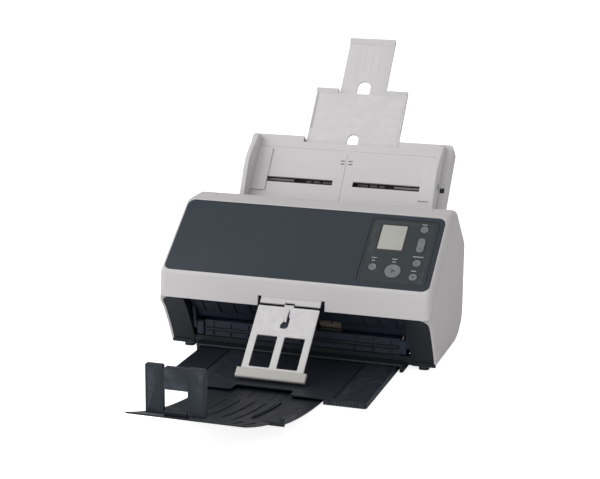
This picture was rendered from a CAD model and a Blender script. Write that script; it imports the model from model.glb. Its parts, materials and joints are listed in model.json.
import json
import math

import bmesh
import bpy
from mathutils import Matrix, Vector

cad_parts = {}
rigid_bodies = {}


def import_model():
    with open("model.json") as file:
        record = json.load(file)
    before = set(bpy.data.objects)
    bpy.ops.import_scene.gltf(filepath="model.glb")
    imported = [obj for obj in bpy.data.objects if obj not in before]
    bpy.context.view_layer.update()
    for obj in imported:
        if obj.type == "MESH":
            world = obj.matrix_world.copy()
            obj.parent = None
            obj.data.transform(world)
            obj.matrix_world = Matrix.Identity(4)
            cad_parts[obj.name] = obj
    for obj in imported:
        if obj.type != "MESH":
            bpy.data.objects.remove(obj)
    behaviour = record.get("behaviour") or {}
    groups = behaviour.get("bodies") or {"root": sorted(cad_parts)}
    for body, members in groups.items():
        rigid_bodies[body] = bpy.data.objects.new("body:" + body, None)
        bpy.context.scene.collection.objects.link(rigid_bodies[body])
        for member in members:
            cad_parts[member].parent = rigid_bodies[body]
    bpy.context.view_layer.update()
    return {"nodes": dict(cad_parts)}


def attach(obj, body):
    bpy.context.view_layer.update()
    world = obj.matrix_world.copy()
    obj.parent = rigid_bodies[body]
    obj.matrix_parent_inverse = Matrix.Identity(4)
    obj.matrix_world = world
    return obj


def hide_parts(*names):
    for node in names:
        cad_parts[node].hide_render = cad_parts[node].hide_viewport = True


for old in list(bpy.data.objects):
    bpy.data.objects.remove(old, do_unlink=True)
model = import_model()
MM = 0.001
SHIFT = 0.07698         # metres in y from the middle of the body to the model's origin
FINENESS = 3            # multiplies the arc steps asked of fillet()
SIDES = ((-1, "left"), (1, "right"))

# body, as (y, z) where two values are given
BODY_HALF = 150.0
BODY_EDGE_R = 7.0
TOP_Z = 159.0
LIP_TOP = (-81.3, 96.9)
# chute behind and exit guide in front: foot (y, z) and slope in degrees
CHUTE_FOOT, CHUTE_ANGLE = (73.5, 124.1), 52.3
CHUTE_HALF = 120.8
GUIDE_FOOT, GUIDE_ANGLE = (-144.6, 18.0), 42.9
GUIDE_HINGE = 77.5
# centre (y, z) and radius of the curve the stacker extensions follow
ARC_Y, ARC_Z, ARC_R = -120.0, 802.6, 800.0


# ================================================================ materials
def linear(rgb):
    """Linear colour from sRGB bytes, all above the curve's straight foot."""
    return tuple(((c / 255 + 0.055) / 1.055) ** 2.4 for c in rgb)


def scaled(colour, factor):
    return tuple(c * factor for c in colour)


def rgba(colour):
    """A colour ready for a socket; an output socket passes through."""
    return colour if hasattr(colour, "links") else (*colour, 1)


class Shader:
    """A principled material with textures in object coordinates."""

    def __init__(self, name):
        self.material = bpy.data.materials.new(name)
        self.material.use_nodes = True
        self.tree = self.material.node_tree
        self.coords = self.add("TexCoord", {}).outputs["Object"]

    def feed(self, node, inputs):
        for key, value in inputs.items():
            if hasattr(value, "links"):
                self.tree.links.new(value, node.inputs[key])
            else:
                node.inputs[key].default_value = value

    def add(self, kind, inputs, **settings):
        node = self.tree.nodes.new("ShaderNode" + kind)
        for key, value in settings.items():
            setattr(node, key, value)
        self.feed(node, inputs)
        return node

    def surface(self, inputs):
        self.feed(self.tree.nodes["Principled BSDF"], inputs)

    def noise(self, scale, detail=3.0, rough=0.5, stretch=None):
        node = self.add("TexNoise", {"Scale": scale, "Detail": detail, "Roughness": rough})
        coords = self.coords
        if stretch:
            coords = self.add("Mapping", {"Scale": stretch, "Vector": coords}).outputs["Vector"]
        self.feed(node, {"Vector": coords})
        return node.outputs["Fac"]

    def cells(self, scale):
        node = self.add("TexVoronoi", {"Scale": scale, "Vector": self.coords})
        return node.outputs["Distance"]

    def ramp(self, value, low=0, high=1, start=0.3, end=0.7):
        """Map start..end of a value to low..high."""
        limits = {"From Min": start, "From Max": end, "To Min": low, "To Max": high}
        return self.add("MapRange", {**limits, "Value": value}).outputs["Result"]

    def mottle(self, scale, detail=3.0, **limits):
        return self.ramp(self.noise(scale, detail), **limits)

    def mix(self, factor, first, second):
        inputs = {6: rgba(first), 7: rgba(second), 0: factor}
        return self.add("Mix", inputs, data_type="RGBA").outputs[2]

    def math(self, operation, first, second):
        return self.add("Math", {0: first, 1: second}, operation=operation).outputs[0]

    def bump(self, height, distance, strength):
        inputs = {"Distance": distance, "Strength": strength, "Height": height}
        self.surface({"Normal": self.add("Bump", inputs).outputs["Normal"]})

    def crevice(self, colour, dark, amount):
        """Deeper colour in corners and gaps, as dust and shade leave it."""
        shade = self.add("AmbientOcclusion", {"Distance": 0.004}, samples=4).outputs["AO"]
        factor = self.ramp(shade, low=amount, high=0.0, start=0.25, end=0.85)
        return self.mix(factor, colour, dark)


def moulded(name, rgb, rough=0.5, grain=2600, depth=0.00003, vary=0.03, wear=None,
            dirt=0.25, sheen=0.0):
    """Moulded plastic: fine grain, faint mottling, uneven gloss, lighter rubbed edges.

    grain and depth set the surface bumps, vary the mottling, wear is the colour of
    rubbed edges, dirt the shade in crevices and sheen the clear coat.
    """
    shader = Shader(name)
    base = linear(rgb)
    colour = shader.mix(shader.mottle(scale=38, detail=4),
                        scaled(base, 1 - vary), scaled(base, 1 + vary))
    speck = shader.mix(shader.mottle(scale=900, detail=2, start=0.42, end=0.62),
                       scaled(base, 1 - vary * 0.8), base)
    colour = shader.mix(0.5, colour, speck)
    if wear:
        edge = shader.ramp(shader.add("NewGeometry", {}).outputs["Pointiness"],
                           start=0.54, end=0.62)
        patches = shader.mottle(scale=120, high=0.6, start=0.35, end=0.65)
        colour = shader.mix(shader.math("MULTIPLY", edge, patches), colour, linear(wear))
    if dirt:
        colour = shader.crevice(colour, scaled(base, 0.62), dirt)
    shader.surface({
        "Base Color": colour,
        "Roughness": shader.mottle(scale=75, low=rough - 0.05, high=rough + 0.06),
        "Specular IOR Level": 0.35,
    })
    if sheen:
        shader.surface({"Coat Weight": sheen, "Coat Roughness": 0.25})
    cells = shader.cells(grain)
    fine = shader.math("MULTIPLY", shader.noise(grain * 0.5, detail=2), 0.6)
    shader.bump(shader.math("ADD", cells, fine), distance=depth, strength=0.5)
    return shader.material


def metal(name, rgb, rough, brush):
    """Brushed metal; brush stretches the streaks along x, y and z."""
    shader = Shader(name)
    base = linear(rgb)
    streaks = shader.noise(scale=90, detail=4, rough=0.6, stretch=brush)
    shader.surface({
        "Base Color": shader.mix(shader.ramp(streaks), scaled(base, 0.82), base),
        "Metallic": 1.0,
        "Roughness": shader.ramp(streaks, low=rough - 0.08, high=rough + 0.12),
    })
    shader.bump(streaks, distance=0.00003, strength=0.35)
    return shader.material


def elastic(name, rgb, rough):
    """Matt rubber."""
    shader = Shader(name)
    base = linear(rgb)
    mottle = shader.mottle(scale=260, detail=4)
    shader.surface({
        "Base Color": shader.mix(mottle, scaled(base, 0.75), scaled(base, 1.15)),
        "Roughness": shader.mottle(scale=500, low=rough - 0.1, high=rough + 0.08),
    })
    fine = shader.noise(scale=1800, detail=4)
    coarse = shader.math("MULTIPLY", shader.cells(900), 0.5)
    shader.bump(shader.math("ADD", fine, coarse), distance=0.00012, strength=0.6)
    return shader.material


def glassy(name, rgb):
    shader = Shader(name)
    base = linear(rgb)
    shader.surface({
        "Base Color": shader.mix(shader.mottle(scale=20, detail=2), scaled(base, 0.9), base),
        "Roughness": shader.mottle(scale=60, low=0.04, high=0.12),
        "Transmission Weight": 0.75,
        "IOR": 1.5,
    })
    shader.bump(shader.noise(scale=300, detail=2), distance=0.000004, strength=0.2)
    return shader.material


def screen(name, rgb):
    """Unlit display behind a clear window: a faint mesh under a smooth face."""
    shader = Shader(name)
    base = linear(rgb)
    rows = shader.add("TexBrick", {
        "Scale": 1600,
        "Mortar Size": 0.03,
        "Color1": rgba(base),
        "Color2": rgba(scaled(base, 0.99)),
        "Mortar": rgba(scaled(base, 0.9)),
        "Vector": shader.coords,
    }).outputs["Color"]
    mottle = shader.mottle(scale=30, detail=2, high=0.4)
    shader.surface({
        "Base Color": shader.mix(mottle, rows, scaled(base, 0.94)),
        "Roughness": shader.mottle(scale=50, detail=2, low=0.22, high=0.3),
        "Coat Weight": 0.4,
        "Coat Roughness": 0.08,
    })
    shader.bump(shader.noise(scale=700, detail=2), distance=0.000005, strength=0.2)
    return shader.material


MATERIALS = dict(
    shell=moulded("shell_plastic", (215, 211, 211), vary=0.014, dirt=0.15, wear=(226, 224, 223)),
    chute=moulded("chute_plastic", (220, 217, 217), rough=0.55, vary=0.012, dirt=0.12,
                  wear=(229, 227, 226)),
    guide=moulded("guide_plastic", (218, 215, 215), rough=0.48, vary=0.012, dirt=0.12,
                  wear=(232, 230, 229)),
    beige=moulded("guide_pad_plastic", (198, 195, 188), vary=0.012),
    dark=moulded("panel_plastic", (47, 56, 64), rough=0.42, depth=0.00002, vary=0.035,
                 wear=(74, 82, 88), sheen=0.08),
    operator=moulded("operator_plastic", (55, 61, 63), rough=0.46, depth=0.00002,
                     vary=0.035, wear=(76, 82, 84)),
    frame=moulded("frame_plastic", (29, 34, 40), vary=0.08, wear=(56, 62, 69)),
    inner=moulded("inner_plastic", (42, 48, 62), vary=0.08, wear=(62, 68, 78)),
    tray=moulded("tray_plastic", (31, 36, 43), rough=0.46, grain=2000, depth=0.00004,
                 vary=0.06, wear=(62, 70, 78)),
    sheet=moulded("extension_plastic", (21, 26, 34), rough=0.46, grain=2000, depth=0.00004,
                  vary=0.05, wear=(54, 61, 70)),
    stopper=moulded("stopper_plastic", (37, 45, 53), rough=0.48, vary=0.025,
                    wear=(72, 80, 88)),
    button=moulded("button_plastic", (125, 130, 133), rough=0.42, grain=3200,
                   depth=0.00001, wear=(150, 154, 157)),
    mark=moulded("printed_mark", (205, 207, 208), depth=0.000005, dirt=0),
    icon=moulded("button_mark", (92, 97, 101), depth=0.000005, dirt=0),
    gear=moulded("gear_plastic", (226, 222, 210), rough=0.42, grain=1500, vary=0.04),
    rack=moulded("rack_plastic", (150, 148, 146), vary=0.05),
    hole=moulded("recess_plastic", (66, 64, 62), rough=0.6, vary=0.08),
    socket=moulded("socket_plastic", (22, 24, 27), rough=0.4, vary=0.08),
    board=moulded("board_mask", (34, 86, 54), rough=0.35, grain=700, depth=0.00006,
                  vary=0.15, sheen=0.3),
    sensor=moulded("sensor_plastic", (38, 42, 40), vary=0.1),
    rubber=elastic("roller_rubber", (72, 70, 68), rough=0.85),
    foot=elastic("foot_rubber", (58, 58, 58), rough=0.9),
    pinch=elastic("pinch_rubber", (124, 116, 106), rough=0.8),
    belt=elastic("belt_rubber", (40, 40, 41), rough=0.8),
    steel=metal("ground_steel", (178, 180, 183), rough=0.28, brush=(1, 60, 60)),
    plate=metal("zinc_plate", (166, 168, 170), rough=0.36, brush=(60, 1, 60)),
    glass=glassy("scan_glass", (170, 190, 192)),
    display=screen("display_face", (186, 186, 178)),
)


# ================================================================ planes
# A plane is its origin and three directions: across, up, and out of it.
def toward(start, end):
    """Unit direction from start to end, and the distance."""
    run, rise = end[0] - start[0], end[1] - start[1]
    length = math.hypot(run, rise)
    return (run / length, rise / length), length


def plane_of(across, up, out):
    return Vector((0, 0, 0)), Vector(across), Vector(up), Vector(out)


def sloped(foot, run, rise):
    """A plane that spans x and climbs along (run, rise) in y and z."""
    return (Vector((0, *foot)), Vector((1, 0, 0)), Vector((0, run, rise)),
            Vector((0, -rise, run)))


def side_of(plane):
    """The plane's profile: up and out, with its depth running across."""
    origin, across, up, out = plane
    return origin, up, out, across


def place(plane, x, y, height):
    origin, across, up, out = plane
    return origin + across * x + up * y + out * height


SIDE = plane_of((0, 1, 0), (0, 0, 1), (1, 0, 0))
FLAT = plane_of((1, 0, 0), (0, 1, 0), (0, 0, 1))
FRONT = plane_of((1, 0, 0), (0, 0, 1), (0, -1, 0))
BACK = plane_of((-1, 0, 0), (0, 0, 1), (0, 1, 0))
UNDER = plane_of((1, 0, 0), (0, -1, 0), (0, 0, -1))
PANEL = sloped(LIP_TOP, *toward(LIP_TOP, (0, TOP_Z))[0])
CHUTE = sloped(CHUTE_FOOT, math.cos(math.radians(CHUTE_ANGLE)),
               math.sin(math.radians(CHUTE_ANGLE)))
CHUTE_BACK = (CHUTE[0], -CHUTE[1], CHUTE[2], -CHUTE[3])
GUIDE = sloped(GUIDE_FOOT, math.cos(math.radians(GUIDE_ANGLE)),
               math.sin(math.radians(GUIDE_ANGLE)))


# ================================================================ outlines
def fillet(points, radii=0.0, seg=4):
    """Round the corners of an outline by one radius, or by one each."""
    if not hasattr(radii, "__len__"):
        radii = [radii] * len(points)
    outline = []
    for i, (corner, radius) in enumerate(zip(points, radii)):
        if radius <= 0:
            outline.append(tuple(corner))
            continue
        before, length_before = toward(corner, points[i - 1])
        after, length_after = toward(corner, points[(i + 1) % len(points)])
        cosine = max(-1, min(1, before[0] * after[0] + before[1] * after[1]))
        half = math.acos(cosine) / 2
        # the arc may use up to about half of either edge
        trim = min(radius / math.tan(half), 0.49 * length_before, 0.49 * length_after)
        radius = trim * math.tan(half)
        middle = (before[0] + after[0], before[1] + after[1])
        length = math.hypot(*middle)
        reach = radius / math.sin(half)
        centre = (corner[0] + middle[0] / length * reach,
                  corner[1] + middle[1] / length * reach)
        first, last = [
            math.atan2(corner[1] + way[1] * trim - centre[1],
                       corner[0] + way[0] * trim - centre[0])
            for way in (before, after)]
        sweep = (last - first + math.pi) % (2 * math.pi) - math.pi
        # steps no shorter than about 0.35 mm or 6 degrees
        steps = max(2, min(seg * FINENESS, math.ceil(abs(sweep) * radius / 0.35),
                           math.ceil(abs(sweep) / math.radians(6))))
        for k in range(steps + 1):
            angle = first + sweep * k / steps
            outline.append((centre[0] + radius * math.cos(angle),
                            centre[1] + radius * math.sin(angle)))
    return outline


def rect(x0, x1, y0, y1, radius=0.0, seg=3):
    return fillet([(x0, y0), (x1, y0), (x1, y1), (x0, y1)], radius, seg)


def around(edges, gap):
    """Rectangle edges moved outwards by gap."""
    x0, x1, y0, y1 = edges
    return x0 - gap, x1 + gap, y0 - gap, y1 + gap


def span(side, near, far):
    """A range of x on one side of the middle, in rising order."""
    return sorted((side * near, side * far))


def circle(centre, radius, count):
    return [(centre[0] + radius * math.cos(2 * math.pi * k / count),
             centre[1] + radius * math.sin(2 * math.pi * k / count)) for k in range(count)]


def bar(x0, y0, x1, y1, width):
    """A straight stroke between two points."""
    (run, rise), _ = toward((x0, y0), (x1, y1))
    dx, dy = -rise * width / 2, run * width / 2
    return [(x0 + dx, y0 + dy), (x0 - dx, y0 - dy), (x1 - dx, y1 - dy), (x1 + dx, y1 + dy)]


def arc_bar(centre, radius, start, end, width, steps=20):
    """A curved stroke; the angles are in degrees."""
    outline = []
    for edge, first, last in ((radius + width / 2, start, end),
                              (radius - width / 2, end, start)):
        for k in range(steps + 1):
            angle = math.radians(first + (last - first) * k / steps)
            outline.append((centre[0] + edge * math.cos(angle),
                            centre[1] + edge * math.sin(angle)))
    return outline


def anticlockwise(outline):
    area = sum(p[0] * q[1] - q[0] * p[1] for p, q in zip(outline, outline[1:] + outline[:1]))
    return outline[::-1] if area < 0 else outline


def inset(outline, distance):
    moved = []
    for i, point in enumerate(outline):
        (run1, rise1), _ = toward(outline[i - 1], point)
        (run2, rise2), _ = toward(point, outline[(i + 1) % len(outline)])
        scale = 1 + rise1 * rise2 + run1 * run2
        moved.append((point[0] + distance * (-rise1 - rise2) / scale,
                      point[1] + distance * (run1 + run2) / scale))
    return moved


# ================================================================ solids
def new_object(bm, name="shape"):
    data = bpy.data.meshes.new(name)
    bm.to_mesh(data)
    bm.free()
    obj = bpy.data.objects.new(name, data)
    bpy.context.scene.collection.objects.link(obj)
    return obj


def skin(rings):
    """A closed solid through equal rings of points."""
    bm = bmesh.new()
    layers = [[bm.verts.new(Vector(p) * MM) for p in ring] for ring in rings]
    count = len(layers[0])
    for low, high in zip(layers, layers[1:]):
        for i in range(count):
            j = (i + 1) % count
            bm.faces.new((low[i], low[j], high[j], high[i]))
    bm.faces.new(layers[0][::-1])
    bm.faces.new(layers[-1])
    bmesh.ops.recalc_face_normals(bm, faces=bm.faces)
    return new_object(bm)


def prism(plane, outline, start, end):
    outline = anticlockwise(outline)
    return skin([[place(plane, x, y, depth) for x, y in outline] for depth in (start, end)])


def loft(plane, outline, stations):
    """Stations are (depth, inset of the outline)."""
    outline = anticlockwise(outline)
    return skin([[place(plane, x, y, depth) for x, y in inset(outline, gap)]
                 for depth, gap in stations])


def eased(plane, outline, start, end, ease0=0.0, ease1=0.4, steps=3):
    """A prism whose ends are rounded over, inside its own outline."""
    def rounding(radius):
        angles = [math.pi / 2 * k / steps for k in range(steps if radius else 0)]
        return [(radius * (1 - math.cos(t)), radius * (1 - math.sin(t))) for t in angles]

    stations = [(start + depth, gap) for depth, gap in rounding(ease0)]
    stations += [(start + ease0, 0), (end - ease1, 0)]
    stations += [(end - depth, gap) for depth, gap in rounding(ease1)[::-1]]
    return loft(plane, outline, stations)


def box(x0, x1, y0, y1, z0, z1):
    return prism(FLAT, rect(x0, x1, y0, y1), z0, z1)


def rod(centre, radius, x0, x1, count):
    return prism(SIDE, circle(centre, radius, count), x0, x1)


def boolean(obj, tool, operation):
    modifier = obj.modifiers.new("b", "BOOLEAN")
    modifier.operation = operation
    modifier.object = tool
    modifier.solver = "EXACT"
    bpy.context.view_layer.update()
    result = obj.evaluated_get(bpy.context.evaluated_depsgraph_get())
    data = bpy.data.meshes.new_from_object(result)
    obj.modifiers.clear()
    obj.data = data
    bpy.data.objects.remove(tool, do_unlink=True)
    return obj


def cut(obj, *tools):
    for tool in tools:
        boolean(obj, tool, "DIFFERENCE")


def join(obj, *tools):
    for tool in tools:
        boolean(obj, tool, "UNION")


def keep(obj, tool):
    return boolean(obj, tool, "INTERSECT")


def gather(parts):
    """Separate closed shapes as one object."""
    bm = bmesh.new()
    for part in parts:
        bm.from_mesh(part.data)
        bpy.data.objects.remove(part, do_unlink=True)
    return new_object(bm)


# ================================================================ finishing
def tidy(obj, merge):
    bm = bmesh.new()
    bm.from_mesh(obj.data)
    bmesh.ops.remove_doubles(bm, verts=bm.verts, dist=2e-6)
    bmesh.ops.dissolve_degenerate(bm, edges=bm.edges, dist=2e-6)
    if merge:
        bmesh.ops.dissolve_limit(bm, angle_limit=math.radians(0.05), verts=bm.verts,
                                 edges=bm.edges)
    bm.to_mesh(obj.data)
    bm.free()


def paint(obj, material):
    obj.data.materials.clear()
    obj.data.materials.append(MATERIALS[material])
    for polygon in obj.data.polygons:
        polygon.material_index = 0


def bevel_edges(obj, width, seg, angle=34):
    modifier = obj.modifiers.new("edges", "BEVEL")
    modifier.width = width * MM
    modifier.segments = seg
    modifier.limit_method = "ANGLE"
    modifier.angle_limit = math.radians(angle)
    modifier.use_clamp_overlap = True
    modifier.harden_normals = True


def piece(obj, name, body, material, slot, *nodes, smooth=28, bevel=0.0, seg=2, merge=True):
    """Finish a shape: the body it rides on, its material and slot, the nodes it replaces."""
    tidy(obj, merge)
    obj.data.transform(Matrix.Translation((0, SHIFT, 0)))
    obj.name = name
    obj.data.name = name
    paint(obj, material)
    obj.data.shade_smooth()
    obj.data.set_sharp_from_angle(angle=math.radians(smooth))
    if bevel:
        bevel_edges(obj, bevel, seg, max(smooth, 34))
    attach(obj, body)
    if nodes:
        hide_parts(*nodes)


def weld_group():
    """Geometry nodes that weld a mesh and smooth its edges below 32 degrees."""
    group = bpy.data.node_groups.new("weld_and_smooth", "GeometryNodeTree")
    for way in ("INPUT", "OUTPUT"):
        group.interface.new_socket("Geometry", in_out=way, socket_type="NodeSocketGeometry")
    new, link = group.nodes.new, group.links.new
    source, result = new("NodeGroupInput"), new("NodeGroupOutput")
    weld = new("GeometryNodeMergeByDistance")
    weld.inputs["Distance"].default_value = 2e-6
    faces, edges = new("GeometryNodeSetShadeSmooth"), new("GeometryNodeSetShadeSmooth")
    faces.domain, edges.domain = "FACE", "EDGE"
    angle = new("GeometryNodeInputMeshEdgeAngle")
    below = new("FunctionNodeCompare")
    below.data_type, below.operation = "FLOAT", "LESS_THAN"
    below.inputs[1].default_value = math.radians(32)
    link(source.outputs[0], weld.inputs["Geometry"])
    link(weld.outputs["Geometry"], faces.inputs["Geometry"])
    link(faces.outputs["Geometry"], edges.inputs["Geometry"])
    link(angle.outputs["Unsigned Angle"], below.inputs[0])
    link(below.outputs["Result"], edges.inputs["Shade Smooth"])
    link(edges.outputs["Geometry"], result.inputs[0])
    return group


WELD = weld_group()

# ================================================================ body shells
# outlines are (y, z)
BODY = fillet(
    [(-60, 6), (50, 6), (66, 10.5), (81, 22.5), (85.8, 34), (85.8, 115), (39.5, 159.6),
     (0, TOP_Z), LIP_TOP, (-86.6, 38)],
    [0, 12, 15, 10, 10, 8, 8, 8, 8, 0], 3)
# the front shell keeps what lies above SEAM; the side shells stop at SEAM_CUT
SEAM = [(-100, 67.9), (-82.7, 67.9), (-69.0, 88.0), (24.0, 159.0), (28.0, 162.06),
        (28, 200), (-100, 200)]
SEAM_CUT = [(-100, 67.0), (-82.3, 67.2), (-68.4, 87.6), (24.5, 158.5), (28.6, 161.63),
            (28.6, 200), (-100, 200)]
CHEEK_FRONT = [(-140, 67.6), (-82.9, 67.0), (-69.5, 51.6), (-55.8, 28.9), (-48, 14),
               (-45, 5), (-45, -20), (-140, -20)]
SIDE_HOLLOW = [(-130, 8.8), (49, 8.8), (64, 13.4), (78.6, 25), (83, 36), (83, 113.8),
               (38.2, 156.6), (-130, 156.6)]
SIDE_OPENING = [(-130, 9.2), (20, 9.2), (20, 130), (30, 153), (30, 156.6), (-130, 156.6)]
SIDE_INNER_X = 124.5
CORNER_X, CORNER_Z, CORNER_R = 147.6, 67.25, 8.5


def body():
    return eased(SIDE, BODY, -BODY_HALF, BODY_HALF, BODY_EDGE_R, BODY_EDGE_R, steps=7)


def side_cover(side, word):
    low, high = span(side, SIDE_INNER_X, 160)
    shell = keep(body(), prism(SIDE, rect(-120, 120, -10, 220), low, high))
    cut(shell, prism(SIDE, SEAM_CUT, low - 5, high + 5),
        prism(SIDE, CHEEK_FRONT, low - 5, high + 5),
        prism(SIDE, SIDE_HOLLOW, *span(side, 127, 147.3)),
        prism(SIDE, SIDE_OPENING, *span(side, 120, 128)))
    # rounded inner corner where the cheek meets the lip
    arc = [(side * (CORNER_X - CORNER_R + CORNER_R * math.sin(t)),
            CORNER_Z - CORNER_R + CORNER_R * math.cos(t))
           for t in [math.pi / 2 * k / 14 for k in range(15)]]
    corner = prism(FRONT, [(side * CORNER_X, CORNER_Z)] + arc, 60, 95)
    keep(corner, prism(SIDE, [(-83.2, 67.3), (-69.9, 51.7), (-66.5, 51.7), (-79.6, 67.3)],
                       *span(side, 137, 149)))
    shell = gather([shell, corner])
    sill = fillet([(-47.6, 10.6), (-46.4, 6.3), (-44.9, 6.3), (-44.9, 10.6)],
                  [0.6, 0.8, 0, 0], 2)
    piece(eased(SIDE, sill, *span(side, 122.6, 149.0), 0.8, 0.8),
          word + "_cheek_sill", "base", "frame", "frame_black", smooth=40)
    piece(shell, word + "_side_shell", "base", "shell", "shell", word + "_side_cover",
          bevel=0.3)


for side, word in SIDES:
    side_cover(side, word)

front = keep(body(), prism(SIDE, SEAM, -170, 170))
join(front, keep(body(), box(-123.9, 123.9, 20, 37.4, 156.3, 170)),
     box(-123.9, 123.9, 34.9, 37.4, 148, 157))
FRONT_HOLLOW = [(-80.9, 50), (-80.9, 68.5), (-78.5, 95.6), (1.1, 156.3), (34.9, 156.3),
                (34.9, 130), (-50, 50)]
cut(front, prism(SIDE, FRONT_HOLLOW, -141, 141),
    prism(PANEL, rect(-146.0, 146.0, 1.6, 101.0, 8, 4), -3.0, 12),
    box(-37, 37, -100, -70, 50, 78.6))
# strip above the exit guide, notched for its hinge
strip = prism(GUIDE, rect(-33, 33, 79.3, 90), -0.9, 0.9)
cut(strip, prism(GUIDE, rect(-5.6, 5.6, 70, 81.4), -5, 5))
join(front, strip, box(-33, 33, -82.6, -78.7, 76.6, 84))
piece(front, "front_shell", "cover", "shell", "shell", "front_frame", bevel=0.35)

REAR_PROFILE = fillet(
    [(85.8, 107), (85.8, 34), (81, 22.5), (66, 10.5), (62, 9.3), (61.5, 12.2),
     (64.5, 12.9), (78.6, 24.2), (83.0, 35), (83.0, 107)],
    [0, 8, 8, 6, 0, 0, 5, 6, 6, 0], 3)
rear = prism(SIDE, REAR_PROFILE, -124.1, 124.1)
for k in range(6):
    x = -40 + k * 22
    cut(rear, prism(BACK, rect(-x - 15, -x, 78, 81, 1.4, 2), 80, 95))
cut(rear, prism(BACK, rect(74.7, 88.3, 37.7, 49.3, 1.2, 2), 70, 95),
    prism(BACK, rect(42.7, 56.3, 37.7, 48.3, 1.2, 2), 70, 95))
# shallow frame round the sockets
cut(rear, prism(BACK, rect(38.5, 92.5, 33.5, 53.5, 3, 3), 85.2, 95))
piece(rear, "rear_shell", "base", "shell", "shell", "rear_cover", bevel=0.3)

# ================================================================ front panel
# edges are (x0, x1, y0, y1) on PANEL
OPERATOR = (67.4, 140.6, 7.6, 95.4)
DISPLAY = (79, 108, 51.5, 87.5)
# radii of cap, flange, hole and hole chamfer; points round the hole
SMALL_KEY = (4.4, 5.5, 4.75, 5.6, 48)
LARGE_KEY = (8.7, 9.8, 9.1, 10.0, 72)
KEYS = dict(
    power_button=((125.6, 83.5), SMALL_KEY),
    menu_button=((126.5, 37.9), SMALL_KEY),
    stop_button=((126.2, 19.3), SMALL_KEY),
    clear_button=((81.0, 28.5), SMALL_KEY),
    scan_button=((103.4, 25.2), LARGE_KEY),
)
ROCKER_X, ROCKER_Y = 126.0, 62.0
ROCKER = (ROCKER_X - 4, ROCKER_X + 4, ROCKER_Y - 9.5, ROCKER_Y + 9.5)

panel = eased(PANEL, rect(-145.6, 145.6, 2.0, 100.6, 7.6, 5), -2.7, -0.15, 0, 0.5)
cut(panel, prism(PANEL, rect(*around(OPERATOR, 0.4), 6, 4), -10, 10))
piece(panel, "front_panel_skin", "cover", "dark", "dark_panel", "front_panel", bevel=0.25)

operator = eased(PANEL, rect(*OPERATOR, 5.6, 4), -2.9, -0.45, 0, 0.35)
cut(operator, prism(PANEL, rect(*around(DISPLAY, 0.3), 1.6, 3), -1.8, 5))
for centre, (_, _, hole, chamfer, count) in KEYS.values():
    cut(operator, prism(PANEL, circle(centre, hole, count), -8, 5),
        loft(PANEL, circle(centre, chamfer, count), [(-0.62, 0.7), (1.0, -0.6)]))
cut(operator, prism(PANEL, rect(ROCKER_X - 4.4, ROCKER_X + 4.4, ROCKER_Y - 10, ROCKER_Y + 10,
                                4.35, 6), -8, 5))
# fine line inside the operator panel's border
ring = prism(PANEL, rect(*around(OPERATOR, -2.2), 4.6, 4), -0.75, 1)
cut(ring, prism(PANEL, rect(*around(OPERATOR, -2.7), 4.1, 4), -2, 2))
cut(operator, ring)
piece(operator, "operator_panel_skin", "cover", "operator", "operator_face",
      "operator_panel", bevel=0.15)

piece(eased(PANEL, rect(*DISPLAY, 1.3, 3), -1.5, -0.4, 0, 0.3), "display_pane", "cover",
      "display", "display", "display_window")
bezel = prism(PANEL, rect(*DISPLAY, 1.3, 3), -0.62, -0.30)
cut(bezel, prism(PANEL, rect(80.1, 106.9, 53.4, 86.4, 0.8, 3), -3, 3))
piece(bezel, "display_bezel", "cover", "hole", "operator_face", bevel=0.08)


def key_cap(centre, radius, flange):
    """Round key with a dished top, turned from (radius, height) pairs."""
    profile = [(flange, -4.3), (flange, -3.3), (radius, -4.0), (radius, -0.15),
               (radius - 0.18, 0.2), (radius - 0.5, 0.42), (radius - 0.95, 0.5),
               (radius * 0.72, 0.36), (radius * 0.45, 0.2), (radius * 0.2, 0.14)]
    return skin([[place(PANEL, x, y, height) for x, y in circle(centre, ring_r, 56)]
                 for ring_r, height in profile])


for name, (centre, (radius, flange, *_)) in KEYS.items():
    piece(key_cap(centre, radius, flange), name + "_cap", name, "button", "button_grey",
          name, smooth=40)
rocker = eased(PANEL, rect(*ROCKER, 3.95, 6), -3.0, 0.6, 0, 0.6, 4)
cut(rocker, prism(side_of(PANEL), circle((ROCKER_Y, 15.3), 15.0, 96), 115, 135))
piece(rocker, "rocker_button_cap", "rocker_button", "button", "button_grey",
      "rocker_button", smooth=32, bevel=0.12)

# printed marks above the keys, rows of short bars: middle x, y, width of the row
MARK_ROWS = [(125.6, 90.4, 7.0), (126.5, 46.6, 11.5), (126.2, 27.6, 7.2), (81.0, 41.2, 7.0),
             (81.2, 37.4, 5.6), (103.4, 41.2, 7.0), (103.4, 37.4, 5.6)]
MARK_PITCH, MARK_WIDTH = 1.9, 1.35
marks = []
for x, y, width in MARK_ROWS:
    for k in range(max(2, int(width / MARK_PITCH))):
        x0 = x - width / 2 + k * MARK_PITCH
        outline = rect(x0, x0 + MARK_WIDTH, y - 0.55, y + 0.55, 0.25, 1)
        marks.append(prism(PANEL, outline, -0.47, -0.41))
piece(gather(marks), "panel_marks", "cover", "mark", "button_grey")


def symbol(name, key, outlines, low=-0.6, high=0.30):
    piece(gather([prism(PANEL, outline, low, high) for outline in outlines]),
          name, key, "icon", "button_grey")


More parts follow.
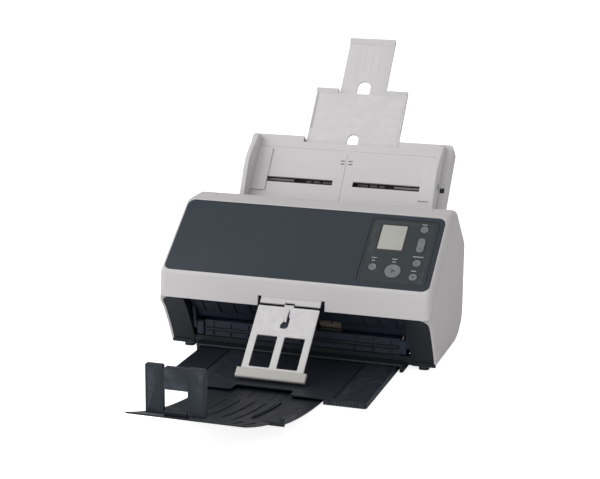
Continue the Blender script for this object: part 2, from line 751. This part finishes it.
x, y = centre = KEYS["power_button"][0]
symbol("power_symbol", "power_button",
       [arc_bar(centre, 1.7, -240, 60, 0.4), bar(x, y + 0.7, x, y + 2.5, 0.4)])
x, y = KEYS["menu_button"][0]
symbol("menu_symbol", "menu_button",
       [bar(x - 1.6, y + dy, x + 1.6, y + dy, 0.4) for dy in (-1.1, 0, 1.1)])
x, y = KEYS["stop_button"][0]
symbol("stop_symbol", "stop_button", [rect(x - 1.3, x + 1.3, y - 1.3, y + 1.3, 0.2, 1)])
symbol("clear_symbol", "clear_button", [arc_bar(KEYS["clear_button"][0], 1.6, 60, 330, 0.4)])
x, y = KEYS["scan_button"][0]
symbol("scan_symbol", "scan_button", [[(x - 1.8, y - 2.8), (x + 3.2, y), (x - 1.8, y + 2.8)]],
       high=0.42)
symbol("rocker_symbols", "rocker_button",
       [[(ROCKER_X - 1.5, ROCKER_Y + way * 4), (ROCKER_X + 1.5, ROCKER_Y + way * 4),
         (ROCKER_X, ROCKER_Y + way * 6.4)] for way in (1, -1)], low=-0.8, high=0.62)

# ================================================================ exit guide
GUIDE_T = 0.9           # half thickness of the plate
guide = eased(GUIDE, rect(-33.5, 33.5, -1.5, 76.0, 1.2, 2), -GUIDE_T, GUIDE_T, 0.25, 0.25)
join(guide, prism(GUIDE, rect(-5, 5, 74, GUIDE_HINGE), -GUIDE_T, GUIDE_T),
     prism(side_of(GUIDE), circle((GUIDE_HINGE, 0), 1.45, 40), -5, 5))
GUIDE_RIB = fillet([(2, -1.9), (70, -1.9), (73, -0.6), (0, -0.6)], [0.6, 1, 0, 0], 2)
for side, _ in SIDES:
    # window, moulded dimple above it, and strengthening rib under the rail
    cut(guide, prism(GUIDE, rect(*span(side, 3.7, 26.3), 2.4, 40.5, 1.5, 2), -10, 10),
        prism(GUIDE, circle((side * 9.0, 45.6), 0.75, 20), 0.45, 5))
    join(guide, prism(side_of(GUIDE), GUIDE_RIB, *span(side, 28.0, 29.2)))
KEYHOLE = fillet([(-2.2, 73), (-2.2, 58), (-4.4, 55), (-4.4, 50), (4.4, 50), (4.4, 62),
                  (2.2, 66), (2.2, 73)], [1, 1, 2, 3.5, 3.5, 2, 1, 1], 3)
cut(guide, prism(GUIDE, KEYHOLE, -10, 10))
piece(guide, "exit_guide_frame", "exit_guide", "guide", "shell", "exit_guide", bevel=0.2)
pad = eased(side_of(GUIDE), rect(-11, 0.2, -2.2, 2.2, 1.4, 3), -37.5, 37.5, 0.6, 0.6)
piece(pad, "exit_guide_pad", "exit_guide", "beige", "shell", smooth=40)
# release tongue in the keyhole: a curved lever that springs from the top edge
tongue = []
for k in range(15):
    t = k / 14
    height = 0.9 + 2.2 * math.sin(math.pi * min(1, t * 0.9)) * (1 - 0.25 * t)
    half = 1.7 - 0.35 * t
    section = [(-half, -0.55), (half, -0.55), (half, 0.25), (half * 0.5, 0.55),
               (-half * 0.5, 0.55), (-half, 0.25)]
    tongue.append([place(GUIDE, x, 73.2 - 15.5 * t, height + z) for x, z in section])
piece(skin(tongue), "exit_guide_tongue", "exit_guide", "guide", "shell", smooth=50)
# dark pocket behind the keyhole
well = eased(GUIDE, rect(-4.9, 4.9, 49.2, 67, 2.5, 3), -2.3, -1.15, 0.2, 0)
piece(well, "exit_guide_well", "exit_guide", "inner", "frame_black")

# ================================================================ chute
BED = (-CHUTE_HALF, CHUTE_HALF, -5, 111)
PINION_Y = 52.5         # the pinion sits on the middle line, between the guides' racks
TICK_ROWS = (77.6, 81.4)
bed = eased(CHUTE, rect(*BED, 3.2, 3), -13, 0, 0, 0.8)
cut(bed, prism(CHUTE, rect(*around(BED, -2.4)), -20, -2.4))
join(bed, eased(CHUTE, rect(-108, 108, -16, -1.0), -2.2, -0.15, 0, 0.5))
for side, _ in SIDES:
    join(bed, prism(CHUTE, rect(*span(side, 56, 58), 68, 102), -8, -1))
cut(bed, prism(CHUTE, rect(-57.1, 57.1, 103.5, 130), -30, 5))
ticks = []
for side, _ in SIDES:
    # slot for the side guide
    cut(bed, prism(CHUTE, rect(*span(side, 12, 101.5), 49.2, 55.8, 0.8, 2), -6, 5))
    low, high = span(side, 2.0, 7.2)
    # middle marks, sunk in short grooves
    for y in TICK_ROWS:
        cut(bed, prism(CHUTE, rect(low, high, y - 0.55, y + 0.55, 0.4, 1), -0.7, 5))
        ticks.append(prism(CHUTE, rect(low + 0.1, high - 0.1, y - 0.5, y + 0.5), -0.75, -0.3))
    # small opening outside the guide, then a long fine line across the upper bed
    cut(bed, prism(CHUTE, rect(*span(side, 114.1, 119.3), 49.4, 55.6, 0.4, 1), -1.1, 5),
        prism(CHUTE, rect(*span(side, 6.0, 107), 93.6, 94.5), -0.5, 5))
cut(bed, prism(CHUTE, rect(-0.55, 0.55, 30, 90, 0.3, 1), -0.6, 5))
join(bed, prism(CHUTE, circle((0.0, PINION_Y), 1.3, 24), -5.1, -1.5))
piece(gather(ticks), "middle_marks", "base", "hole", "frame_black")
piece(bed, "chute_bed_skin", "base", "chute", "chute_shell", "chute_bed", bevel=0.2,
      merge=False)

back = eased(CHUTE, rect(*BED, 4, 2), -23, -13.3, 1.6, 0)
cut(back, prism(CHUTE, rect(-CHUTE_HALF + 2.4, CHUTE_HALF - 2.4, -2.4, 108.4, 2, 2),
                -20.6, -10),
    prism(CHUTE, rect(-58.5, 58.5, 98, 140, 3, 2), -40, 10))
# shallow grip field on the back
for k in range(7):
    y = 26 + k * 5
    cut(back, prism(CHUTE, rect(-70, 70, y, y + 1.6, 0.8, 1), -30, -22.5))
piece(back, "chute_back_skin", "base", "chute", "chute_shell", "chute_back_cover", bevel=0.3)

# strips seen through the slots; the short ones lie deep, clear of the extensions
strips = []
for side, _ in SIDES:
    strips.append(prism(CHUTE, rect(*span(side, 60, 101), 53.5, 56.0), -6.8, -5.5))
    for near, far in ((15, 27), (30, 38), (41, 47)):
        strips.append(prism(CHUTE, rect(*span(side, near, far), 56.2, 58.6), -12.0, -11.3))
piece(gather(strips), "slot_strips", "base", "rack", "gear_plastic", bevel=0.15)
piece(prism(CHUTE, rect(-104, 104, 46, 68), -12.6, -11.9), "slot_floor", "base", "hole",
      "frame_black")
wells = [prism(CHUTE, rect(*span(side, 114.15, 119.25), 49.45, 55.55), -1.15, -0.95)
         for side, _ in SIDES]
piece(gather(wells), "slide_end_wells", "base", "inner", "frame_black")

# ================================================================ side guides
# (distance up the chute, height above it)
WALL_PROFILE = fillet(
    [(-4, 0.35), (-4, 15), (22, 18), (50, 24.5), (63, 26.3), (78, 23), (101, 14),
     (106, 8), (106, 0.35)],
    [0, 4, 8, 10, 8, 10, 4, 4, 0], 3)


def rack_outline(side):
    """Toothed bar of the left guide, turned half round the pinion for the right."""
    pitch = math.pi
    tip, root, top = 57.65, 59.65, 63.5
    tooth = ((-0.30, root), (-0.13, tip), (0.13, tip), (0.30, root))
    outline = [(-100.0, top), (-100.0, root)]
    outline += [((k + step) * pitch, y) for k in range(-9, 3) for step, y in tooth]
    outline += [(2.5 * pitch, root), (2.5 * pitch, top)]
    return [(-x, 2 * PINION_Y - y) for x, y in outline] if side > 0 else outline


def side_guide(side, word):
    wall = eased(side_of(CHUTE), WALL_PROFILE, *span(side, 108, 113.6), 0.8, 0.8)
    join(wall, eased(CHUTE, rect(*span(side, 91, 108.6), 37, 92, 0.8, 1), 0.35, 1.9, 0, 0.3))
    cut(wall, prism(CHUTE, rect(*span(side, 111.2, 120), 49.5, 56.5), 5, 12))
    # grooves let into the outer face
    for k in range(5):
        y = 62 + k * 6
        cut(wall, prism(CHUTE, rect(*span(side, 113.0, 120), y, y + 1.2), 3, 10))
    # stem through the slot, arm to the rack, and the rack
    low, high = span(side, 92, 100)
    arm = (50.6, 63.5) if side < 0 else (41.5, 54.4)
    join(wall, prism(CHUTE, rect(low, high, 50.6, 54.4), -5.0, 1),
         prism(CHUTE, rect(low, high, *arm), -5.0, -2.8),
         prism(CHUTE, rack_outline(side), -4.9, -2.9))
    guide_name = word + "_side_guide"
    piece(wall, word + "_guide_wall", guide_name, "chute", "chute_shell", guide_name,
          bevel=0.2)
    piece(prism(CHUTE, rect(*span(side, 111.25, 111.5), 49.6, 56.4), 5.1, 11.9),
          word + "_guide_window", guide_name, "hole", "frame_black")


for side, word in SIDES:
    side_guide(side, word)


# ================================================================ chute extensions
def arch(half, foot, crown):
    """A round-topped opening."""
    top = [(half * math.cos(t), crown - half + half * math.sin(t))
           for t in [math.pi * k / 28 for k in range(29)]]
    return [(half, foot)] + top + [(-half, foot)]


LOWER_LIP = fillet([(171.5, -7.4), (178.3, -7.4), (178.3, -1.6), (176.8, -1.6),
                    (172.5, -5.0), (171.5, -5.4)], [0, 1, 1, 1, 0, 0], 2)
lower = eased(CHUTE, rect(-55.5, 55.5, 70, 178.5, 1.6, 2), -7.6, -5.3, 0.3, 0.3)
for side, _ in SIDES:
    # turned-up lip, inner rib, side rib
    join(lower, prism(side_of(CHUTE), LOWER_LIP, *span(side, 29, 55.3)),
         prism(CHUTE, rect(*span(side, 28.5, 30.5), 108, 171), -10.8, -7),
         prism(CHUTE, rect(*span(side, 53.6, 55.2), 125, 176), -6.5, -4.2))
    # moulded side line
    cut(lower, prism(CHUTE, rect(*span(side, 51.6, 52.1), 114, 170), -5.55, 2))
cut(lower, prism(CHUTE, rect(-28.5, 28.5, 173.8, 190), -12, 2),
    prism(CHUTE, arch(6.5, 104.5, 119.5), -12, 2))
piece(lower, "chute_extension_lower_skin", "chute_extension_lower", "chute", "chute_shell",
      "chute_extension_lower", bevel=0.2)

UPPER_LIP = fillet([(241.6, -10.0), (249.4, -10.0), (249.4, -3.4), (247.8, -3.4),
                    (242.8, -7.4)], [0, 1, 1, 1, 0], 2)
upper = eased(CHUTE, rect(-28, 28, 150, 249.6, 1.6, 2), -10.2, -7.9, 0.3, 0.3)
join(upper, prism(side_of(CHUTE), UPPER_LIP, -27.8, 27.8))
cut(upper, prism(CHUTE, arch(7.8, 174.5, 192.5), -14, 2))
for x in (-14, -5, 4, 13):
    cut(upper, prism(CHUTE, rect(x, x + 0.35, 200, 238), -8.1, 2))
piece(upper, "chute_extension_upper_skin", "chute_extension_upper", "chute", "chute_shell",
      "chute_extension_upper", bevel=0.2)

# ================================================================ stacker
TRAY = fillet([(-110, -181), (-31, -181), (-31, -166), (31, -166), (31, -181), (110, -181),
               (110, -42), (-110, -42)], [3, 3, 4, 4, 3, 3, 1, 1], 3)
tray = prism(FLAT, TRAY, 1.4, 7.6)
cut(tray, box(-65.6, 65.6, -190, -44, 0, 6.3), box(-107.6, -68, -179, -44, 0, 6.0),
    box(68, 107.6, -179, -44, 0, 6.0))
for x in (-76, 76):
    cut(tray, box(x - 1.3, x + 1.3, -178, -62, 6.7, 9))
# finger grip on the front edge
for k in range(9):
    x = 72 + k * 3.6
    cut(tray, box(x, x + 1.2, -183, -180.6, 2.2, 6.8))
piece(tray, "stacker_tray_skin", "stacker_tray", "tray", "tray_dark", "stacker_tray",
      bevel=0.35, seg=3)


def on_arc(y, radius):
    """Where a point at y lands on the stacker's curve, as (y, z)."""
    angle = math.asin((ARC_Y - y) / ARC_R)
    return ARC_Y - radius * math.sin(angle), ARC_Z - radius * math.cos(angle)


def arc_sheet(outline, top_r, bottom_r, steps):
    """A sheet drawn flat in x and y, then bent between two radii."""
    sheet = prism(FLAT, outline, 0, 1)
    low, high = min(p[1] for p in outline), max(p[1] for p in outline)
    bm = bmesh.new()
    bm.from_mesh(sheet.data)
    for k in range(1, steps):
        y = (low + (high - low) * k / steps) * MM
        bmesh.ops.bisect_plane(bm, geom=bm.verts[:] + bm.edges[:] + bm.faces[:],
                               plane_co=(0, y, 0), plane_no=(0, 1, 0))
    for vert in bm.verts:
        radius = bottom_r + (top_r - bottom_r) * (vert.co.z / MM)
        y, z = on_arc(vert.co.y / MM, radius)
        vert.co.y = y * MM
        vert.co.z = z * MM
    bm.to_mesh(sheet.data)
    bm.free()
    return sheet


lower = arc_sheet(fillet([(-60.8, -297), (63.5, -297), (63.5, -150), (-60.8, -150)],
                         [3, 3, 1, 1], 3), 800.8, 802.2, 24)
join(lower, arc_sheet(rect(44.0, 62.9, -296.6, -293.4), 801.4, 804.4, 2),
     arc_sheet(rect(58.2, 63.5, -296.6, -262), 796.6, 801.5, 8))
# slanting grooves: x at the back and at the front
for x0, x1 in ((-23, -21.3), (-9.5, -8.2), (14.6, 16.1), (24.4, 25.8)):
    cut(lower, arc_sheet([(x0, -154), (x0 + 1.0, -154), (x1 + 1.0, -210), (x1, -210)],
                         799, 801.2, 8))
piece(lower, "stacker_lower_skin", "stacker_extension_lower", "sheet", "tray_dark",
      "stacker_extension_lower", bevel=0.25)

STOP_Y, STOP_Z = STOP_AXIS = (-380.0, 51.6)
upper = arc_sheet(fillet([(-57, -388), (57, -388), (57, -318), (30.5, -300), (30.5, -205),
                          (-30.5, -205), (-30.5, -300), (-57, -318)],
                         [5, 5, 6, 6, 1, 1, 6, 6], 3), 799.1, 800.5, 30)
# knuckle for the stopper's pin
join(upper, rod(STOP_AXIS, 2.6, -20.8, 1.4, 40),
     prism(SIDE, [(STOP_Y - 2.6, 46.5), (STOP_Y + 2.6, 45.5), (STOP_Y + 2.6, STOP_Z),
                  (STOP_Y - 2.6, STOP_Z)], -20.8, 1.4))
cut(upper, rod(STOP_AXIS, 1.6, -60, 60, 32))
piece(upper, "stacker_upper_skin", "stacker_extension_upper", "sheet", "tray_dark",
      "stacker_extension_upper", bevel=0.25)


def rib(x0, y0, x1, y1, width, base_r=799.6, height=1.62, steps=24):
    """A low rounded rib along the sheet, tapered down at both ends."""
    rings = []
    for k in range(steps + 1):
        t = k / steps
        x = x0 + (x1 - x0) * t
        y = y0 + (y1 - y0) * t
        top = base_r - height * min(1.0, 8 * t + 0.12, 8 * (1 - t) + 0.12)
        middle = (base_r + top) / 2
        section = ((-width / 2, base_r), (-width / 2, middle), (-width / 4, top),
                   (width / 4, top), (width / 2, middle), (width / 2, base_r))
        rings.append([(x + dx, *on_arc(y, radius)) for dx, radius in section])
    return skin(rings)


ribs = [rib(-24, -207, -17, -330, 2.4), rib(-9.5, -207, -4.5, -330, 2.4),
        rib(5.5, -207, 9.5, -330, 2.4), rib(17.5, -207, 24.0, -345, 2.6),
        rib(27.4, -207, 29.2, -296, 1.8, height=1.15),
        rib(36, -331, 40, -377, 2.2, height=1.5), rib(48, -331, 50, -377, 2.0, height=1.5)]
piece(gather(ribs), "stacker_upper_ribs", "stacker_extension_upper", "sheet", "tray_dark",
      smooth=50)
ribs = [rib(side * x0, y0, side * x1, -292, 1.4, base_r=801.2, height=0.62)
        for x0, y0, x1 in ((40, -230, 43), (50, -200, 53)) for side, _ in SIDES]
piece(gather(ribs), "stacker_lower_ribs", "stacker_extension_lower", "sheet", "tray_dark",
      smooth=50)

# stopper: two upright blades, a bridge, a pin and fine grooves
LOW_Z, HIGH_Z = STOP_Z - 2.4, 95.0
stop = eased(FRONT, rect(-38.2, -21.2, LOW_Z, HIGH_Z, 1.6, 3), 377.6, 382.4, 0.5, 0.5)
BRIDGE = fillet([(-23.2, 72.5), (3.8, 72.5), (3.8, HIGH_Z - 1.4), (-18.8, HIGH_Z - 1.4),
                 (-20.0, HIGH_Z - 3.2), (-23.2, HIGH_Z - 3.2)], 0.6, 2)
join(stop, eased(FRONT, rect(1.8, 19.0, LOW_Z, HIGH_Z - 0.6, 2.4, 3), 377.6, 382.4, 0.5, 0.5),
     prism(FRONT, BRIDGE, 378.2, 381.8), rod(STOP_AXIS, 1.3, -26.2, 8.8, 32))
for x0, x1 in ((-36.6, -35.8), (-23.6, -22.8), (3.4, 4.2), (16.6, 17.4)):
    cut(stop, box(x0, x1, -383, -382.15, LOW_Z + 4, HIGH_Z - 5))
piece(stop, "stacker_stopper_skin", "stacker_stopper", "stopper", "stopper_dark",
      "stacker_stopper", bevel=0.2)

# ================================================================ inside the mouth
# outlines are (y, z)
MOUTH_RIB = fillet([(-50.6, 20), (-48.0, 18.6), (-48.0, 33.6), (-50.0, 33.6)],
                   [0.8, 0, 0, 0.8], 1)
MOUTH_BAR = fillet([(-51.4, 24.2), (-48.2, 24.2), (-48.2, 27.6), (-51.4, 27.6)],
                   [1.4, 0, 0, 1.4], 2)
SHIELD = fillet([(-51.6, 19.4), (-48.6, 18.6), (-48.6, 34.8), (-51.6, 33.4)],
                [1.2, 0, 0, 1.2], 2)
LIP_RIB = [(-49.6, 46.6), (-62.4, 60.6), (-77.6, 73.0), (-78.4, 72.0), (-64.4, 59.4),
           (-51.6, 45.4)]
parts = [eased(SIDE, MOUTH_RIB, x - 0.7, x + 0.7, 0.25, 0.25)
         for x in range(-100, 101, 20) if not 12 < abs(x) < 50]
piece(gather(parts), "mouth_ribs", "base", "inner", "frame_black", smooth=40)
piece(eased(SIDE, MOUTH_BAR, -108, 108, 0.6, 0.6), "mouth_bar", "base", "frame",
      "frame_black", smooth=40)
for side, word in SIDES:
    piece(eased(SIDE, SHIELD, *span(side, 110.4, 117.7), 0.3, 0.3), word + "_drive_shield",
          "base", "inner", "frame_black", smooth=40)
# slanting ribs on the inner sides of the cheeks
parts = []
for side, _ in SIDES:
    for k in range(4):
        y = -50 + k * 13
        top, low = 60 - abs(y + 20) * 0.3, 34 + 0.2 * k
        outline = [(y, top), (y + 1.2, top), (y + 3.2, low), (y + 2.0, low)]
        parts.append(prism(SIDE, outline, *span(side, 122.6, 123.8)))
piece(gather(parts), "cheek_ribs", "base", "frame", "frame_black", bevel=0.1)
# ribs under the scan unit's front edge, where sheets leave
parts = [eased(SIDE, LIP_RIB, x - 0.6, x + 0.6, 0.2, 0.2)
         for x in range(-108, 109, 18) if abs(x) >= 9]
piece(gather(parts), "lip_ribs", "cover", "inner", "frame_black", smooth=40)

# ================================================================ pieces kept as modelled
# material, bevel in mm (0 for none), bevel segments, model nodes
KEPT = (
    ("frame", 0.35, 2, "base_frame"),
    ("inner", 0.3, 2, "lower_scan_housing upper_scan_housing"),
    ("glass", 0.15, 2, "lower_scan_glass upper_scan_glass"),
    ("sensor", 0.25, 2, "lower_image_sensor upper_image_sensor"),
    ("rubber", 0, 2, "pick_roller brake_roller feed_tyre_left feed_tyre_right "
                     "eject_tyre_left eject_tyre_right"),
    ("pinch", 0, 2, "feed_pinch_roller eject_pinch_left eject_pinch_right"),
    ("steel", 0, 2, "pick_shaft feed_shaft eject_shaft left_hinge_pin right_hinge_pin "
                    "data_socket drive_motor"),
    ("gear", 0.12, 2, "feed_gear pick_gear idler_gear feed_pulley eject_pulley "
                      "motor_pulley guide_pinion"),
    ("plate", 0.2, 2, "bottom_plate"),
    ("belt", 0.15, 2, "drive_belt"),
    ("socket", 0.3, 2, "power_socket"),
    ("board", 0.15, 2, "main_board"),
    ("foot", 0.7, 3, "left_foot right_foot"),
)
for material, bevel, seg, names in KEPT:
    for name in names.split():
        obj = model["nodes"][name]
        paint(obj, material)
        obj.modifiers.new("weld", "NODES").node_group = WELD
        if bevel:
            bevel_edges(obj, bevel, seg)


# ================================================================ screws
def screw(plane, x, y, height, radius):
    """Cross-recessed pan head standing on the plane at a height."""
    # (share of the radius, height)
    profile = ((1, -0.3), (1, 0.35), (0.93, 0.7), (0.75, 1.0), (0.4, 1.15))
    head = skin([[place(plane, u, v, height + rise)
                  for u, v in circle((x, y), radius * share, 32)] for share, rise in profile])
    reach = radius * 0.55
    for dx, dy in ((reach, 0), (0, reach)):
        recess = bar(x - dx, y - dy, x + dx, y + dy, radius * 0.26)
        cut(head, prism(plane, recess, height + 0.45, height + 3))
    return head


# name, plane, x to either side, heights up the plane, height off the plane, radius
SCREWS = (
    ("bottom_screws", UNDER, 102, (-52, 28), -9.3, 2.6),
    ("chute_screws", CHUTE_BACK, 104, (10, 92), 22.8, 2.3),
    ("rear_screws", BACK, 116, (44, 98), 85.6, 2.2),
)
for name, plane, half, rows, height, radius in SCREWS:
    heads = [screw(plane, x, y, height, radius) for x in (-half, half) for y in rows]
    piece(gather(heads), name, "base", "steel", "steel", smooth=40)

# ================================================================ stage
# a sweep of paper: half width, front and back edges, height, radius of the bend
HALF_WIDTH, FRONT_Y, BACK_Y, HEIGHT, BEND_R = 6.0, -4.0, 3.2, 6.0, 1.2
profile = [(FRONT_Y, 0), (BACK_Y - BEND_R, 0)]
profile += [(BACK_Y - BEND_R + BEND_R * math.sin(t), BEND_R - BEND_R * math.cos(t))
            for t in [math.pi / 2 * k / 24 for k in range(1, 25)]]
profile += [(BACK_Y, HEIGHT)]
bm = bmesh.new()
left, right = [[bm.verts.new((x, y, z - 0.0002)) for y, z in profile]
               for x in (-HALF_WIDTH, HALF_WIDTH)]
for i in range(len(profile) - 1):
    bm.faces.new((left[i], right[i], right[i + 1], left[i + 1]))
floor = new_object(bm, "floor")
floor.data.shade_smooth()

paper = Shader("floor_paper")
white = linear((246, 246, 246))
paper.surface({
    "Base Color": paper.mix(paper.mottle(scale=3, detail=2), scaled(white, 0.985), white),
    "Roughness": 0.8,
})
# the paper glows a little towards the viewer only, as an overexposed sweep does
seen = paper.add("LightPath", {}).outputs["Is Camera Ray"]
paper.surface({"Emission Strength": paper.math("MULTIPLY", seen, 0.85),
               "Emission Color": (1, 1, 1, 1)})
floor.data.materials.append(paper.material)

# the world lights the scene softly, and shows brighter to the camera
AMBIENT, CAMERA_EXTRA = 0.46, 0.6
world = bpy.data.worlds.new("studio")
world.use_nodes = True
tree = world.node_tree
background = tree.nodes["Background"]
background.inputs["Color"].default_value = (0.97, 0.98, 1.0, 1)
seen = tree.nodes.new("ShaderNodeLightPath")
level = tree.nodes.new("ShaderNodeMath")
level.operation = "MULTIPLY_ADD"
level.inputs[1].default_value = CAMERA_EXTRA
level.inputs[2].default_value = AMBIENT
tree.links.new(seen.outputs["Is Camera Ray"], level.inputs[0])
tree.links.new(level.outputs[0], background.inputs["Strength"])
bpy.context.scene.world = world

# name, place, size, power in watts
LIGHTS = (
    ("key", (-1.6, -1.22, 1.5), 2.2, 22),
    ("top", (-0.2, 0.18, 2.1), 2.2, 2.2),
    ("front", (-0.3, -2.32, 0.9), 1.8, 11),
)
LIGHT_AIM = Vector((0, 0.027, 0.1))
for name, location, size, power in LIGHTS:
    light = bpy.data.lights.new(name, "AREA")
    light.energy = power
    light.size = size
    lamp = bpy.data.objects.new(name, light)
    bpy.context.scene.collection.objects.link(lamp)
    lamp.location = location
    lamp.visible_camera = False
    aim = LIGHT_AIM - Vector(location)
    lamp.rotation_euler = aim.to_track_quat("-Z", "Y").to_euler()

# ================================================================ camera
CAMERA_PLACE = (0.4862, -1.52072, 0.5230)
# turn to the left of +y, tilt down, and roll
turn, tilt, roll = math.radians(17.480), math.radians(13.462), math.radians(0.587)
ahead = Vector((-math.sin(turn) * math.cos(tilt), math.cos(turn) * math.cos(tilt),
                -math.sin(tilt)))
level_x = Vector((math.cos(turn), math.sin(turn), 0))
level_y = level_x.cross(ahead)
camera_x = level_x * math.cos(roll) + level_y * math.sin(roll)
camera_y = -level_x * math.sin(roll) + level_y * math.cos(roll)
lens = bpy.data.cameras.new("camera")
lens.sensor_fit = "HORIZONTAL"
lens.sensor_width = 36
lens.lens = 94.38
lens.clip_start, lens.clip_end = 0.05, 20
camera = bpy.data.objects.new("camera", lens)
bpy.context.scene.collection.objects.link(camera)
pose = Matrix((camera_x, camera_y, -ahead)).transposed().to_4x4()
pose.translation = Vector(CAMERA_PLACE)
camera.matrix_world = pose
bpy.context.scene.camera = camera
bpy.context.scene.view_settings.view_transform = "Standard"
